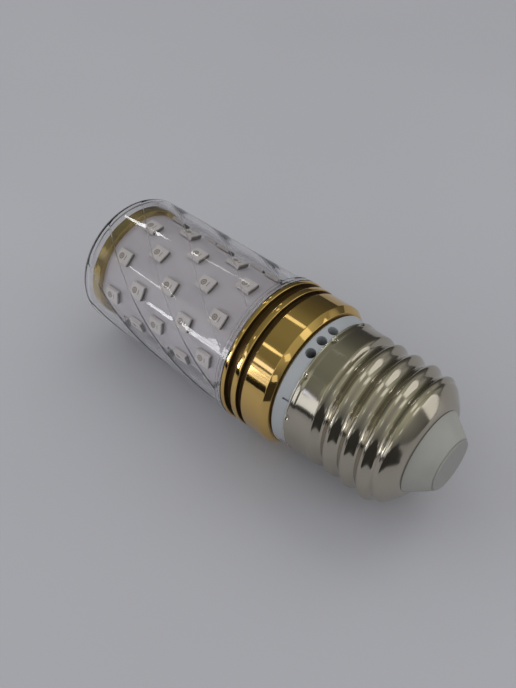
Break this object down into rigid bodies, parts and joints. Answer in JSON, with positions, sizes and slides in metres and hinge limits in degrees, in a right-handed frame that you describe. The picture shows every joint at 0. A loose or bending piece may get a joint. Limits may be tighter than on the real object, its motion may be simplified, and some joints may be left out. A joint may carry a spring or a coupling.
{
  "type": "germicidal ultraviolet lamp bulb",
  "caption": "Screw-base ultraviolet lamp: clear grooved shade over a tube of small light packages, gold ring, white vented collar and nickel screw shell.",
  "frame": {"origin": "centre of the flat face of the clear shade's head, on which the lamp stands", "axes": "+Z along the lamp's axis from the head up to the centre contact; X and Y lie in the plane of the head"},
  "size_m": [0.0302, 0.0302, 0.0828],
  "materials": {
    "shade": "clear moulded plastic, polished",
    "gold_ring": "gold electroplate on plastic, mirror bright",
    "base_housing": "white moulded plastic, fine satin",
    "screw_shell": "nickel plate on rolled brass, bright",
    "insulator": "off-white insulating compound, satin",
    "centre_contact": "dull flat metal disc",
    "lamp_board": "pale solder mask on thin board",
    "core_cap": "gold electroplate on plastic, mirror bright",
    "lamp_row_1": "pale moulded lamp package with a clear window",
    "lamp_row_2": "pale moulded lamp package with a clear window",
    "lamp_row_3": "pale moulded lamp package with a clear window",
    "lamp_row_4": "pale moulded lamp package with a clear window",
    "lamp_row_5": "pale moulded lamp package with a clear window",
    "driver_board": "green solder mask",
    "dropper_capacitor": "red-brown dipped film capacitor",
    "smoothing_capacitor": "dark sleeve on aluminium can",
    "bridge_rectifier": "black moulded package",
    "fuse_resistor": "flameproof grey-blue coating",
    "bleed_resistor": "beige coating",
    "live_wire": "red insulation",
    "neutral_wire": "black insulation",
    "lamp_lead_plus": "red insulation",
    "lamp_lead_minus": "black insulation"
  },
  "bodies": {
    "root": {"shade": "shade", "gold_ring": "gold_ring", "base_housing": "base_housing", "screw_shell": "screw_shell", "insulator": "insulator", "centre_contact": "centre_contact", "lamp_board": "lamp_board", "core_cap": "core_cap", "lamp_row_1": "lamp_row_1", "lamp_row_2": "lamp_row_2", "lamp_row_3": "lamp_row_3", "lamp_row_4": "lamp_row_4", "lamp_row_5": "lamp_row_5", "driver_board": "driver_board", "dropper_capacitor": "dropper_capacitor", "smoothing_capacitor": "smoothing_capacitor", "bridge_rectifier": "bridge_rectifier", "fuse_resistor": "fuse_resistor", "bleed_resistor": "bleed_resistor", "live_wire": "live_wire", "neutral_wire": "neutral_wire", "lamp_lead_plus": "lamp_lead_plus", "lamp_lead_minus": "lamp_lead_minus"}
  },
  "joints": []
}
